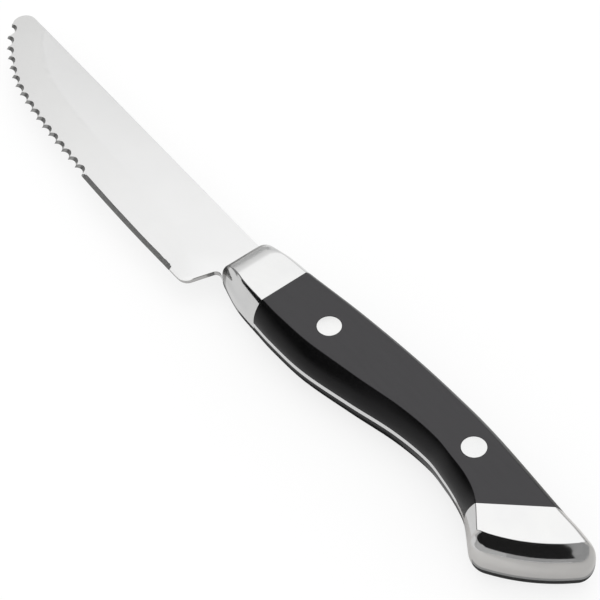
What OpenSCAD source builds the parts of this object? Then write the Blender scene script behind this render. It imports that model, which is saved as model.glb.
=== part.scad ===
// Steak knife with a stamped full-tang blade, steel bolsters, black moulded scales, a slanted steel
// pommel and two compression rivets. It lies on its right side: tip towards -X, cutting edge towards
// -Y, table at Z = 0.

/* [Blade] */
// Bolster front to tip
blade_length = 123.5; // [100:0.5:150]
// Spine to the deepest point of the cutting edge
blade_height = 24.4; // [22:0.2:28]
// Thickness of the blade and tang
stock_t = 1.5; // [1.2:0.1:2.5]
// Height of the blade's spine above the front rivet
spine_lift = 5.1; // [4:0.1:6]
// Radius of the rounded tip
tip_r = 3.6; // [2.5:0.1:4.5]
// Width of the ground zone above the cutting edge
grind_w = 10.5; // [7:0.5:13]
// Thickness left at the edge by the grind
edge_t = 0.75; // [0.5:0.05:1]
// Radius of the heel corner
heel_r = 3.2; // [2:0.1:4.5]
// Radius of the notch between heel and bolster
choil_r = 1.5; // [0.8:0.1:2]

/* [Cutting edge] */
// Number of scallops, counted from the tip
tooth_count = 17; // [10:1:20]
// Spacing of the scallops along the blade
tooth_pitch = 3.9; // [3:0.05:4.1]
// Tip to the middle of the first scallop, along the blade
tooth_lead = 2.8; // [2:0.1:5]
// Radius of the wheel that grinds a scallop
tooth_r = 2.5; // [2.2:0.05:3]
// Tilt of that wheel from square to the blade
tooth_tilt = 45; // [30:1:55]
// Width of the bevel on the plain edge
bevel_w = 1.2; // [0.8:0.1:2]
// Length of the blunt edge at the heel
heel_blunt = 4; // [2:0.5:10]

/* [Handle] */
// Bolster front to butt
handle_length = 134.6; // [125:0.2:145]
// Thickness of the handle
handle_t = 15.8; // [13:0.1:19]
// Depth of the belly swell below the front rivet
belly_drop = 12.3; // [11:0.1:14]
// Height of the back of the handle above the front rivet
spine_rise = 14.7; // [13:0.1:16]
// How far the belly side leans in from its widest line to the flat face
belly_lean = 4.2; // [2:0.1:4.5]
// How far the back leans in
spine_lean = 3.1; // [1.5:0.1:4]

/* [Bolster] */
// Length of the bolster
bolster_length = 18.8; // [14:0.2:22]
// Length over which the nose rolls down to the blade
nose_run = 7.8; // [5:0.1:9]
// How square the roll is: 2 is a quarter ellipse
nose_square = 2.9; // [2:0.1:4]
// Slant of the bolster's two ends
bolster_tilt = 2.6; // [0:0.1:6]
// Corner radius of the nose on the back
nose_back_r = 3; // [1.5:0.1:4]
// Corner radius of the nose on the belly
nose_belly_r = 0.8; // [0.3:0.1:1.5]

/* [Pommel] */
// Length of the pommel along the rivet line
pommel_length = 23.6; // [20:0.2:28]
// Slant of the joint between scale and pommel
pommel_slant = 41; // [20:1:50]
// Radius of the butt's long curve
butt_r = 52; // [40:1:90]
// Direction that the butt faces where it meets the back's corner
butt_turn = -31; // [-40:0.5:-25]
// How far the butt leans in to the flat face
butt_lean = 4.3; // [2:0.1:4.3]
// Corner radius between butt and belly
butt_belly_r = 5.5; // [4.5:0.1:7]
// Corner radius between butt and back
butt_back_r = 4.5; // [4.4:0.1:6]

/* [Rivets] */
// Diameter of a rivet head
rivet_head_d = 6.8; // [5.5:0.1:8]
// Depth of a rivet head
rivet_head_h = 2.6; // [1.5:0.1:3.5]
// Outside diameter of the hollow half
sleeve_d = 4.4; // [3.6:0.1:5]
// Diameter of the solid half's stem
post_d = 2.8; // [2:0.1:3.2]
// Front rivet behind the bolster
front_rivet_inset = 18.7; // [10:0.1:25]
// Rear rivet ahead of the pommel
rear_rivet_inset = 19.1; // [14:0.1:26]
// Gap round the rivets in their holes
rivet_fit = 0.05; // [0.02:0.01:0.1]

/* [Hidden] */

// How far every cut runs past what it cuts
overrun = 1;
// Gap between the end of a rivet half and the other half's head
rivet_end_gap = 0.2;
// How much deeper the scallops go than the cutting edge's own line
tooth_bite = 0.12;
// Thickness left at the very edge of the plain bevel
edge_land = 0.15;
// Smallest cosine with which a face is still measured
square_on = 0.01;
// Step over which a slope is measured, as a share of handle_length
slope_step_share = 0.001;
$fn = 48;

slab_t = (handle_t - stock_t) / 2;
// Length of a rivet half: it stops short of the other half's head
rivet_reach = handle_t - rivet_head_h - rivet_end_gap;

// Handle outline on its widest line: share of handle_length, share of belly_drop or spine_rise
belly_shares = [
    [0, 0.75], [0.07, 0.93], [0.14, 0.98], [0.2, 1], [0.3, 0.94], [0.42, 0.66],
    [0.53, 0.36], [0.62, 0.25], [0.68, 0.32], [0.73, 0.43], [0.77, 0.58], [0.82, 0.92],
];
spine_shares = [
    [0, 0.41], [0.07, 0.57], [0.14, 0.64], [0.28, 0.81], [0.45, 0.95], [0.6, 1],
    [0.68, 0.99], [0.77, 0.94], [0.89, 0.86], [0.94, 0.84], [1, 0.78],
];
// Lean of the belly side: share of handle_length, share of belly_lean
lean_shares = [
    [0, 0.63], [0.15, 0.84], [0.32, 1], [0.42, 0.87],
    [0.54, 0.68], [0.65, 0.62], [0.73, 0.74], [0.79, 0.57],
];
// Cutting edge from the tip: share of blade_length, share of blade_height
edge_shares = [
    [0.04, 0.43], [0.1, 0.62], [0.2, 0.82], [0.35, 0.93], [0.53, 0.98], [0.74, 1], [0.92, 0.99],
];
// Ground zone along the edge from the tip: share of the edge's length, share of grind_w
grind_shares = concat(
    [for (t = [0 : 0.04 : 0.8]) [t, 1]],
    [[0.85, 0.95], [0.9, 0.8], [0.94, 0.62], [0.97, 0.45], [1, 0.3], [1.05, 0.2]]
);
// Plain bevel: share of its length, share of bevel_w
bevel_shares = [
    [0, 0.3], [0.015, 0.75], [0.03, 1], [0.35, 1], [0.65, 1],
    [0.94, 1], [0.96, 0.95], [0.98, 0.75], [1, 0.2],
];
// Heel corner and notch corner: share of blade_length ahead of the bolster, share of blade_height
heel_share = [0.035, 0.985];
notch_share = [0.0155, 0.572];
// Direction in which the rounded tip passes into the cutting edge
tip_turn = 215;

belly_line = [for (s = belly_shares) [s[0] * handle_length, -s[1] * belly_drop]];
spine_line = [for (s = spine_shares) [s[0] * handle_length, s[1] * spine_rise]];
lean_line = [for (s = lean_shares) [s[0] * handle_length, s[1] * belly_lean]];

// Heights of the handle's rings as shares of slab_t, and steps along each stretch of a ring
ring_shares = [for (a = [0 : 11.25 : 90]) sin(a)];
bolster_n = 6;
scale_n = 28;
pommel_n = 6;
butt_n = 9;
corner_n = 7;
edge_n = 6;
// How often the search for a joint's end halves its step
halvings = 40;

// Plane geometry
function ray(a) = [cos(a), sin(a)];
function heading(v) = atan2(v[1], v[0]);
function unit(v) = v / norm(v);
function left_of(v) = [-v[1], v[0]];
function arc(c, r, a0, a1, n) = [for (i = [0 : n]) c + r * ray(a0 + (a1 - a0) * i / n)];
function open_arc(c, r, a0, a1, n) = [for (i = [0 : n - 1]) c + r * ray(a0 + (a1 - a0) * i / n)];

// Arc of radius r that turns from the line through p along u to the line through q along v
function turn_arc(p, u, q, v, r, n) =
    let (
        k = p + u * cross(q - p, v) / cross(u, v),
        turn = atan2(cross(u, v), u * v),
        side = sign(turn),
        c = k - u * r * tan(abs(turn) / 2) + left_of(u) * r * side
    )
    arc(c, r, heading(u) - 90 * side, heading(u) - 90 * side + turn, n);

// Smooth line through points in order of x: cubic pieces with shared slopes, straight past its ends
function last(l) = l[len(l) - 1];
function span(l, x, i = 0) = i >= len(l) - 2 || x < l[i + 1][0] ? i : span(l, x, i + 1);
function knot_slope(l, i) =
    let (a = l[max(i - 1, 0)], b = l[min(i + 1, len(l) - 1)])
    (b[1] - a[1]) / (b[0] - a[0]);
function piece_y(a, b, ma, mb, t) =
    let (h = b[0] - a[0], s = 1 - t)
    a[1] * s * s * (1 + 2 * t) + b[1] * t * t * (3 - 2 * t) + h * t * s * (ma * s - mb * t);
function line_y(l, x) =
    let (i = span(l, x), a = l[i], b = l[i + 1], t = (x - a[0]) / (b[0] - a[0]))
    x < l[0][0] ? a[1] + (x - a[0]) * knot_slope(l, 0)
    : x > last(l)[0] ? b[1] + (x - b[0]) * knot_slope(l, i + 1)
    : piece_y(a, b, knot_slope(l, i), knot_slope(l, i + 1), t);
function line_slope(l, x) =
    let (d = slope_step_share * handle_length)
    (line_y(l, x + d) - line_y(l, x - d)) / (2 * d);

// Curve through points in any direction: each step between b and c leans on its neighbours a and d
function curve_at(a, b, c, d, t) =
    let (p = c - a, q = 2 * a - 5 * b + 4 * c - d, r = 3 * (b - c) + d - a)
    b + (p + (q + r * t) * t) * t / 2;
function curve(l, n) =
    [for (i = [1 : len(l) - 3], k = [0 : n - 1]) curve_at(l[i - 1], l[i], l[i + 1], l[i + 2], k / n)];

// Handle rings
// A side is widest at the tang and leans in on an arc; share w of the slab's thickness
function lean_in(lean, w) =
    let (r = (slab_t * slab_t + lean * lean) / (2 * lean))
    r - sqrt(r * r - w * w * slab_t * slab_t);
function belly_normal(x) = unit([line_slope(belly_line, x), -1]);
function spine_normal(x) = unit([-line_slope(spine_line, x), 1]);
function belly_point(x, w) =
    [x, line_y(belly_line, x)] - belly_normal(x) * lean_in(line_y(lean_line, x), w);
function spine_point(x, w) = [x, line_y(spine_line, x)] - spine_normal(x) * lean_in(spine_lean, w);

// Butt: one long arc between two corner arcs that touch it from inside
back_facing = heading(spine_normal(handle_length - butt_back_r));
back_x = handle_length - butt_back_r * (1 - cos(back_facing));
back_c = [back_x, line_y(spine_line, back_x)] - butt_back_r * ray(back_facing);
butt_c = back_c - (butt_r - butt_back_r) * ray(butt_turn);
foot_p = last(belly_line);
foot_n = belly_normal(foot_p[0]);
foot_u = left_of(foot_n);
foot_o = foot_p - foot_n * butt_belly_r - butt_c;
foot_b = foot_o * foot_u;
foot_a = -foot_b + sqrt(foot_b * foot_b - foot_o * foot_o + pow(butt_r - butt_belly_r, 2));
foot_c = butt_c + foot_o + foot_u * foot_a;
foot_x = (foot_c + foot_n * butt_belly_r)[0];
foot_turn = heading(foot_c - butt_c);
foot_facing = heading(foot_n);
foot_lean = line_y(lean_line, foot_x);

// A corner is an arc at the tang and a sharp corner on the flat face
function toward(a) = max(cos(a), square_on);
function corner_points(c, r, a0, a1, lean0, lean1, w) =
    [
        for (i = [0 : corner_n - 1])
            let (
                a = a0 + (a1 - a0) * i / corner_n,
                face_r = min((r - lean0) / toward(a - a0), (r - lean1) / toward(a1 - a))
            )
            c + (r - lean_in(r - face_r, w)) * ray(a)
    ];
function nose_at(w) = nose_run * (1 - sqrt(1 - pow(w, nose_square)));
function belly_start(w) = nose_at(w) + belly_drop * tan(bolster_tilt) + nose_belly_r;
function spine_start(w) = nose_at(w) + nose_back_r;

function butt_end(w) =
    concat(
        corner_points(foot_c, butt_belly_r, foot_facing, foot_turn, foot_lean, butt_lean, w),
        open_arc(butt_c, butt_r - lean_in(butt_lean, w), foot_turn, butt_turn, butt_n),
        corner_points(back_c, butt_back_r, butt_turn, back_facing, butt_lean, spine_lean, w)
    );
nose_u = -ray(90 + bolster_tilt);
function nose_back(w) =
    let (x = spine_start(w))
    turn_arc(
        spine_point(x, w), left_of(spine_normal(x)),
        [nose_at(w), 0], nose_u, nose_back_r, corner_n
    );
function nose_belly(w) =
    let (x = belly_start(w))
    turn_arc(
        [nose_at(w), 0], nose_u,
        belly_point(x, w), left_of(belly_normal(x)), nose_belly_r, corner_n
    );

// Joints across the handle, each a point and a facing, and the rivets midway between belly and back
function middle_of(x) = [x, (line_y(belly_line, x) + line_y(spine_line, x)) / 2];
pommel_x = handle_length - pommel_length;
front_joint = [[bolster_length, 0], ray(bolster_tilt)];
rear_joint = [middle_of(pommel_x), ray(-pommel_slant)];
front_rivet_p = middle_of(bolster_length + front_rivet_inset);
rear_rivet_p = middle_of(pommel_x - rear_rivet_inset);

// Where the belly and the back cross a joint, found by halving
function past(joint, p) = (p - joint[0]) * joint[1] > 0;
function belly_cross(joint, w, a = 0, b = handle_length, k = halvings) =
    let (m = (a + b) / 2)
    k == 0 ? m
    : past(joint, belly_point(m, w)) ? belly_cross(joint, w, a, m, k - 1)
    : belly_cross(joint, w, m, b, k - 1);
function spine_cross(joint, w, a = 0, b = handle_length, k = halvings) =
    let (m = (a + b) / 2)
    k == 0 ? m
    : past(joint, spine_point(m, w)) ? spine_cross(joint, w, a, m, k - 1)
    : spine_cross(joint, w, m, b, k - 1);

// Stretches of belly and back, and the rings of the three parts of the handle
function belly_run(a, b, w, n) = [for (i = [0 : n]) belly_point(a + (b - a) * i / n, w)];
function spine_run(a, b, w, n) = [for (i = [0 : n]) spine_point(a + (b - a) * i / n, w)];
function bolster_belly(w) = belly_run(belly_start(w), belly_cross(front_joint, w), w, bolster_n);
function bolster_back(w) = spine_run(spine_cross(front_joint, w), spine_start(w), w, bolster_n);
function scale_belly(w) = belly_run(belly_cross(front_joint, w), belly_cross(rear_joint, w), w, scale_n);
function scale_back(w) = spine_run(spine_cross(rear_joint, w), spine_cross(front_joint, w), w, scale_n);
function pommel_belly(w) = belly_run(belly_cross(rear_joint, w), foot_x, w, pommel_n);
function pommel_back(w) = spine_run(back_x, spine_cross(rear_joint, w), w, pommel_n);
function head(l) = [for (i = [0 : len(l) - 2]) l[i]];
function tail(l) = [for (i = [1 : len(l) - 1]) l[i]];

function bolster_ring(w) = concat(bolster_belly(w), bolster_back(w), nose_back(w), nose_belly(w));
function scale_ring(w) = concat(scale_belly(w), scale_back(w));
function pommel_ring(w) = concat(head(pommel_belly(w)), butt_end(w), pommel_back(w));

// Blade outline: rounded tip, cutting edge, heel, notch, tang, spine
tip_c = [tip_r - blade_length, spine_lift - tip_r];
edge_start = tip_c + tip_r * ray(tip_turn);
edge_knots = [for (s = edge_shares) [(s[0] - 1) * blade_length, spine_lift - s[1] * blade_height]];
edge_lead_in = edge_start + norm(edge_knots[0] - edge_start) * ray(tip_turn - 90);
heel_p = [-heel_share[0] * blade_length, spine_lift - heel_share[1] * blade_height];
notch_p = [-notch_share[0] * blade_length, spine_lift - notch_share[1] * blade_height];
shoulder_p = belly_point(belly_start(0), 0);
heel_u = unit(heel_p - last(edge_knots));
notch_u = unit(notch_p - heel_p);
heel_arc = turn_arc(heel_p, heel_u, heel_p, notch_u, heel_r, corner_n);
notch_arc = turn_arc(notch_p, notch_u, notch_p, unit(shoulder_p - notch_p), choil_r, corner_n);
edge_line = concat(
    curve(concat([edge_lead_in, edge_start], edge_knots, [heel_p]), edge_n),
    [last(edge_knots), heel_arc[0]]
);
blade_outline = concat(
    open_arc(tip_c, tip_r, 90, tip_turn, 2 * corner_n),
    edge_line,
    [for (i = [1 : corner_n]) heel_arc[i]],
    notch_arc,
    bolster_belly(0),
    tail(scale_belly(0)),
    head(tail(pommel_belly(0))),
    butt_end(0),
    pommel_back(0),
    tail(scale_back(0)),
    tail(bolster_back(0)),
    [for (p = nose_back(0)) if (p[1] > spine_lift) p],
    [[0, spine_lift]]
);

// Places along the cutting edge, by length from the tip
function run_up(l, i = 0, s = 0) =
    i == len(l) - 1 ? [s] : concat([s], run_up(l, i + 1, s + norm(l[i + 1] - l[i])));
edge_runs = run_up(edge_line);
edge_length = last(edge_runs);
function step_at(s, i = 0) = i >= len(edge_runs) - 2 || s < edge_runs[i + 1] ? i : step_at(s, i + 1);
function edge_u(s) =
    let (i = step_at(s))
    unit(edge_line[i + 1] - edge_line[i]);
function edge_at(s) =
    let (i = step_at(s))
    edge_line[i] + edge_u(s) * (s - edge_runs[i]);
function above_edge(s, w) = edge_at(s) + left_of(edge_u(s)) * w;
function run_to(x) =
    let (i = span(edge_line, x), a = edge_line[i], b = edge_line[i + 1])
    edge_runs[i] + norm(b - a) * (x - a[0]) / (b[0] - a[0]);

// Middle of a scallop's wheel outside the edge line, and the end of the row of scallops
tooth_out = tooth_r / cos(tooth_tilt) * sqrt(1 - pow(tooth_pitch / (2 * tooth_r), 2)) - tooth_bite;
function tooth_x(k) = tooth_lead - blade_length + k * tooth_pitch;
plain_start = run_to(tooth_x(tooth_count - 0.5));
plain_length = edge_length - heel_blunt - plain_start;

// The knife's box is centred over the origin
outline_x = [for (p = blade_outline) p[0]];
outline_y = [for (p = blade_outline) p[1]];
place = [
    -(min(outline_x) + max(outline_x)) / 2,
    -(min(outline_y) + max(outline_y)) / 2,
    handle_t / 2,
];

// Solid through closed rings, each anticlockwise seen from the next; its two ends are strips across
module skin(rings) {
    n = len(rings[0]);
    rows = len(rings) - 1;
    sides = [
        for (k = [0 : rows - 1], i = [0 : n - 1])
            let (a = k * n + i, b = k * n + (i + 1) % n)
            each [[a, a + n, b + n], [a, b + n, b]]
    ];
    near_end = [
        for (i = [0 : ceil(n / 2) - 2])
            2 * i + 3 < n ? [i, i + 1, n - 2 - i, n - 1 - i] : [i, i + 1, n - 1 - i]
    ];
    far_end = [for (f = near_end) [for (i = [len(f) - 1 : -1 : 0]) rows * n + f[i]]];
    polyhedron([for (r = rings) each r], concat(near_end, far_end, sides));
}

// A ring lifted to its height on the left side of the tang
function lifted(ring, w) = [for (p = ring) [p[0], p[1], stock_t / 2 + slab_t * w]];

// What a grinding wheel takes off one face: from the lines inner down to the lines outer, run past both
module ramp(inner, outer, z_in, z_out) {
    skin([
        for (i = [0 : len(inner) - 1])
            let (a = 2 * inner[i] - outer[i], b = 2 * outer[i] - inner[i], drop = z_in[i] - z_out[i])
            [
                [a[0], a[1], z_in[i] + drop],
                [a[0], a[1], z_in[i] + stock_t],
                [b[0], b[1], z_in[i] + stock_t],
                [b[0], b[1], z_out[i] - drop],
            ]
    ]);
}

module at_rivets() {
    for (p = [front_rivet_p, rear_rivet_p]) translate([p[0], p[1], 0]) children();
}

module grind() {
    tip_over = -edge_u(0) * blade_height;
    inner = [for (s = grind_shares) above_edge(s[0] * edge_length, s[1] * grind_w)];
    outer = [for (s = grind_shares) edge_at(s[0] * edge_length)];
    ramp(
        concat([inner[0] + tip_over], inner),
        concat([outer[0] + tip_over], outer),
        [for (i = [0 : len(inner)]) stock_t / 2],
        [for (i = [0 : len(inner)]) edge_t / 2]
    );
}

module scallops() {
    for (k = [0 : tooth_count - 1]) {
        p = edge_at(run_to(tooth_x(k)));
        translate([p[0], p[1] - tooth_out, -edge_t / 2]) rotate([-tooth_tilt, 0, 0])
            cylinder(r = tooth_r, h = blade_height, center = true);
    }
}

module plain_bevel() {
    lines = [for (s = bevel_shares) [plain_start + s[0] * plain_length, s[1] * bevel_w]];
    ramp(
        [for (l = lines) above_edge(l[0], l[1])],
        [for (l = lines) edge_at(l[0])],
        [for (l = lines) edge_t / 2 + (stock_t - edge_t) / 2 * l[1] / grind_w],
        [for (l = lines) edge_land - edge_t / 2]
    );
}

module blade() {
    color("gainsboro") translate(place) difference() {
        linear_extrude(stock_t, center = true) polygon(blade_outline);
        grind();
        mirror([0, 0, 1]) grind();
        scallops();
        plain_bevel();
        at_rivets() cylinder(d = sleeve_d + 2 * rivet_fit, h = stock_t + 2 * overrun, center = true);
    }
}

module bolster() {
    skin([for (w = ring_shares) lifted(bolster_ring(w), w)]);
}

module scale_slab() {
    difference() {
        skin([for (w = ring_shares) lifted(scale_ring(w), w)]);
        at_rivets() {
            cylinder(d = sleeve_d + 2 * rivet_fit, h = handle_t);
            translate([0, 0, handle_t / 2 - rivet_head_h])
                cylinder(d = rivet_head_d + 2 * rivet_fit, h = rivet_head_h + overrun);
        }
    }
}

module pommel() {
    skin([for (w = ring_shares) lifted(pommel_ring(w), w)]);
}

module bolster_left() {
    color("silver") translate(place) bolster();
}

module bolster_right() {
    color("silver") translate(place) mirror([0, 0, 1]) bolster();
}

module scale_left() {
    color("#303032") translate(place) scale_slab();
}

module scale_right() {
    color("#303032") translate(place) mirror([0, 0, 1]) scale_slab();
}

module pommel_left() {
    color("silver") translate(place) pommel();
}

module pommel_right() {
    color("silver") translate(place) mirror([0, 0, 1]) pommel();
}

// Solid half: head flush with the left face, stem inside the hollow half
module rivet_post(p) {
    color("silver") translate(place) translate([p[0], p[1], handle_t / 2]) mirror([0, 0, 1]) {
        cylinder(d = rivet_head_d, h = rivet_head_h);
        cylinder(d = post_d, h = rivet_reach);
    }
}

// Hollow half: head flush with the right face, sleeve through both scales and the tang
module rivet_sleeve(p) {
    color("silver") translate(place) translate([p[0], p[1], -handle_t / 2]) difference() {
        union() {
            cylinder(d = rivet_head_d, h = rivet_head_h);
            cylinder(d = sleeve_d, h = rivet_reach);
        }
        translate([0, 0, rivet_head_h]) cylinder(d = post_d + 2 * rivet_fit, h = handle_t);
    }
}

module front_rivet_post() {
    rivet_post(front_rivet_p);
}

module front_rivet_sleeve() {
    rivet_sleeve(front_rivet_p);
}

module rear_rivet_post() {
    rivet_post(rear_rivet_p);
}

module rear_rivet_sleeve() {
    rivet_sleeve(rear_rivet_p);
}

blade();
bolster_left();
bolster_right();
scale_left();
scale_right();
pommel_left();
pommel_right();
front_rivet_post();
front_rivet_sleeve();
rear_rivet_post();
rear_rivet_sleeve();
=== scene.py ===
"""Looks of the steak knife: fine meshes, procedural steel and polymer, and a small white studio."""

import math

import bmesh
import bpy
import numpy as np
from mathutils import Matrix, Vector


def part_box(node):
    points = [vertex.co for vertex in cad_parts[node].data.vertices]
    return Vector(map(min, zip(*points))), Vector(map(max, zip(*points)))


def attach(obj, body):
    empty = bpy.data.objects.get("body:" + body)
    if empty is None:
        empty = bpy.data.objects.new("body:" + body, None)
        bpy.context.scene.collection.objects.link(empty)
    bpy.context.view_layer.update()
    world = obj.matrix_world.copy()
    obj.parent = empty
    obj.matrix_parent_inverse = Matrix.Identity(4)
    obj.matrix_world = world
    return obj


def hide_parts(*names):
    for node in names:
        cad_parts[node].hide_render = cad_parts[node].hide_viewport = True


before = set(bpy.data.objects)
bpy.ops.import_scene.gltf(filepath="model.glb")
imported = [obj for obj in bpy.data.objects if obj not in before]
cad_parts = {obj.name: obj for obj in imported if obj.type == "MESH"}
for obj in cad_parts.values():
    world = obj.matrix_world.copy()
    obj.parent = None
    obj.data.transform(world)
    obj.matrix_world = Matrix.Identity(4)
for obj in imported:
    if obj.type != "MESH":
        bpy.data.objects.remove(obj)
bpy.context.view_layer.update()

# Sizes in millimetres and angles in degrees, in the knife's working frame: x from the bolster's front to
# the butt, y from the cutting edge to the back, z from the middle of the blade's thickness
MM = 0.001
BLADE_LENGTH = 123.5
BLADE_HEIGHT = 24.4
STOCK_T = 1.5
SPINE_LIFT = 5.1
TIP_R = 3.6
TIP_TURN = 215
GRIND_W = 10.5
EDGE_T = 0.75
HEEL_R = 3.2
CHOIL_R = 1.5
TOOTH_COUNT = 17
TOOTH_PITCH = 3.9
TOOTH_LEAD = 2.8
TOOTH_R = 2.5
TOOTH_TILT = 45
TOOTH_BITE = 0.12
BEVEL_W = 1.2
EDGE_LAND = 0.15
HEEL_BLUNT = 4
HANDLE_LENGTH = 134.6
HANDLE_T = 15.8
BELLY_DROP = 12.3
SPINE_RISE = 14.7
BELLY_LEAN = 4.2
SPINE_LEAN = 3.1
BOLSTER_LENGTH = 18.8
NOSE_RUN = 7.8
NOSE_SQUARE = 2.9
BOLSTER_TILT = 2.6
NOSE_BACK_R = 3
NOSE_BELLY_R = 0.8
POMMEL_LENGTH = 23.6
POMMEL_SLANT = 41
BUTT_R = 52
BUTT_TURN = -31
BUTT_LEAN = 4.3
BUTT_BELLY_R = 5.5
BUTT_BACK_R = 4.5
RIVET_HEAD_D = 6.8
RIVET_HEAD_H = 2.6
SLEEVE_D = 4.4
POST_D = 2.8
FRONT_RIVET_INSET = 18.7
REAR_RIVET_INSET = 19.1
RIVET_FIT = 0.05
RIVET_END_GAP = 0.2
SLAB_T = (HANDLE_T - STOCK_T) / 2
RIVET_REACH = HANDLE_T - RIVET_HEAD_H - RIVET_END_GAP

# Small forms that only the looks have: rounded creases and edges, and the tang's edge sunk under its cheeks
CREASE_R = 0.5
CORNER_SQUARE = 5
BOLSTER_LEAN_SHARE = 0.9
STOCK_EDGE_R = 0.22
RIVET_EDGE_R = 0.12
TANG_SINK = 0.6

# Limits of the modelling: steps past a joint and a face, the step for slopes, the least cosine at a corner,
# what counts as flat and as a crease, and the narrowing that keeps the looks inside the solids' box
JOINT_SKIP = 0.01
OVERRUN = 1
SLOPE_STEP_SHARE = 0.001
STEEPEST = 0.01
FLAT_FACING = 0.995
CREASE_TURN = 12
INSIDE_SHARE = 0.9996

# Outlines as shares of the sizes above
BELLY_SHARES = [
    (0, 0.75), (0.07, 0.93), (0.14, 0.98), (0.2, 1), (0.3, 0.94), (0.42, 0.66),
    (0.53, 0.36), (0.62, 0.25), (0.68, 0.32), (0.73, 0.43), (0.77, 0.58), (0.82, 0.92),
]
SPINE_SHARES = [
    (0, 0.41), (0.07, 0.57), (0.14, 0.64), (0.28, 0.81), (0.45, 0.95), (0.6, 1),
    (0.68, 0.99), (0.77, 0.94), (0.89, 0.86), (0.94, 0.84), (1, 0.78),
]
LEAN_SHARES = [
    (0, 0.63), (0.15, 0.84), (0.32, 1), (0.42, 0.87),
    (0.54, 0.68), (0.65, 0.62), (0.73, 0.74), (0.79, 0.57),
]
EDGE_SHARES = [(0.04, 0.43), (0.1, 0.62), (0.2, 0.82), (0.35, 0.93), (0.53, 0.98), (0.74, 1), (0.92, 0.99)]
GRIND_SHARES = [(0.8, 1), (0.85, 0.95), (0.9, 0.8), (0.94, 0.62), (0.97, 0.45), (1, 0.3), (1.05, 0.2)]
BEVEL_SHARES = [
    (0, 0.3), (0.015, 0.75), (0.03, 1), (0.35, 1), (0.65, 1),
    (0.94, 1), (0.96, 0.95), (0.98, 0.75), (1, 0.2),
]
HEEL_SHARE = (0.035, 0.985)
NOTCH_SHARE = (0.0155, 0.572)

# Steps along each stretch of an outline, shares of the cutting edge from spot to spot of the grind, halvings
# in a search, and heights of the handle's rings as shares of the slab
CORNER_N = 24
BOLSTER_N = 28
NOSE_N = 14
SCALE_N = 110
POMMEL_N = 24
BUTT_N = 48
EDGE_N = 16
STOCK_ROUND_N = 9
RIVET_ROUND_N = 5
LATHE_N = 96
GRIND_STEP_SHARE = 0.02
GRIND_LINE_STEP_SHARE = 0.08
HALVINGS = 40
RING_ANGLES = np.radians(np.arange(0, 78, 3.25))
CREASE_SHARES = [0.971, 0.977, 0.982, 0.987, 0.991, 0.9945, 0.997, 0.9988, 0.9997, 1]
RING_SHARES = [*np.sin(RING_ANGLES), *CREASE_SHARES]


def ray(degrees):
    a = np.radians(degrees)
    return np.stack([np.cos(a), np.sin(a)], -1)


def heading(v):
    return math.degrees(math.atan2(v[1], v[0]))


def unit(v):
    return v / np.linalg.norm(v, axis=-1, keepdims=True)


def left_of(v):
    return np.stack([-v[..., 1], v[..., 0]], -1)


def cross(u, v):
    return u[0] * v[1] - u[1] * v[0]


def arc(centre, r, start, end, n):
    return centre + r * ray(np.linspace(start, end, n + 1))


def turn_arc(p, u, q, v, r, n):
    """Arc of radius r that turns from the line through p along u to the line through q along v."""
    corner = p + u * cross(q - p, v) / cross(u, v)
    turn = math.degrees(math.atan2(cross(u, v), u @ v))
    side = math.copysign(1, turn)
    centre = corner - u * r * math.tan(math.radians(abs(turn) / 2)) + left_of(u) * r * side
    start = heading(u) - 90 * side
    return arc(centre, r, start, start + turn, n)


class Line:
    """Smooth line through points in order of x: cubic pieces with shared slopes, straight past its ends."""

    def __init__(self, points):
        self.x, self.y = np.array(points, float).T
        before = np.r_[0, np.arange(len(points) - 1)]
        after = np.r_[np.arange(1, len(points)), len(points) - 1]
        self.slopes = (self.y[after] - self.y[before]) / (self.x[after] - self.x[before])

    def __call__(self, x):
        x = np.asarray(x, float)
        inside = np.clip(x, self.x[0], self.x[-1])
        i = np.clip(np.searchsorted(self.x, inside, side="right") - 1, 0, len(self.x) - 2)
        h = self.x[i + 1] - self.x[i]
        t = (inside - self.x[i]) / h
        s = 1 - t
        bend = h * t * s * (self.slopes[i] * s - self.slopes[i + 1] * t)
        y = self.y[i] * s * s * (1 + 2 * t) + self.y[i + 1] * t * t * (3 - 2 * t) + bend
        return y + (x - inside) * np.where(x < self.x[0], self.slopes[0], self.slopes[-1])

    def slope(self, x):
        d = HANDLE_LENGTH * SLOPE_STEP_SHARE
        return (self(x + d) - self(x - d)) / (2 * d)


belly_line = Line([(x * HANDLE_LENGTH, -y * BELLY_DROP) for x, y in BELLY_SHARES])
spine_line = Line([(x * HANDLE_LENGTH, y * SPINE_RISE) for x, y in SPINE_SHARES])
lean_line = Line([(x * HANDLE_LENGTH, y * BELLY_LEAN) for x, y in LEAN_SHARES])


def lean_in(lean, w):
    """How far a side has come in at share w of the slab: an arc, then the rounded crease of the flat face."""
    r = (SLAB_T**2 + lean**2) / (2 * lean)
    z = w * SLAB_T
    round_z = SLAB_T - CREASE_R
    round_e = r - np.sqrt((r - CREASE_R) ** 2 - round_z**2)
    rounded = round_e - math.sqrt(max(CREASE_R**2 - (z - round_z) ** 2, 0))
    return np.where(z > round_z * r / (r - CREASE_R), rounded, r - np.sqrt(r * r - z * z))


def belly_normal(x):
    slope = belly_line.slope(x)
    return unit(np.stack([slope, -np.ones_like(slope)], -1))


def spine_normal(x):
    slope = spine_line.slope(x)
    return unit(np.stack([-slope, np.ones_like(slope)], -1))


def belly_point(x, w, sink=0, lean_share=1):
    inward = lean_in(lean_line(x) * lean_share, w) + sink
    return np.stack([x, belly_line(x)], -1) - belly_normal(x) * inward[..., None]


def bolster_belly_point(x, w):
    return belly_point(x, w, lean_share=BOLSTER_LEAN_SHARE)


def spine_point(x, w, sink=0):
    return np.stack([x, spine_line(x)], -1) - spine_normal(x) * (lean_in(SPINE_LEAN, w) + sink)


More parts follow.
